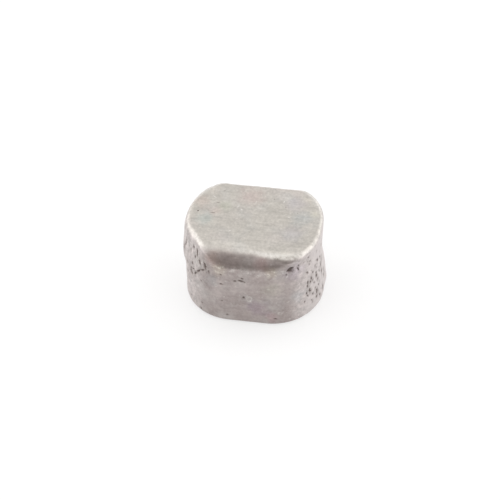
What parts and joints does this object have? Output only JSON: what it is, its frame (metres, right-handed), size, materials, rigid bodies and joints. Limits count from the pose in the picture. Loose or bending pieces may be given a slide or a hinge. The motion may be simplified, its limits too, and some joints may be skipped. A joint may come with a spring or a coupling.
{
  "type": "crankshaft key",
  "caption": "Stubby hardened steel key with rounded ends, ground flat on its long faces, with a shallow cove under the front top edge.",
  "frame": {"origin": "middle of the foot, the flat face that the key rests on", "axes": "+X along the key, +Y from the front face with the cove to the plain back face, +Z from the foot to the top face"},
  "size_m": [0.0078, 0.006, 0.005],
  "materials": {
    "steel": "satin, worn, faintly scratched on top and pitted at the ends"
  },
  "bodies": {
    "root": {"crankshaft_key": "steel"}
  },
  "joints": []
}
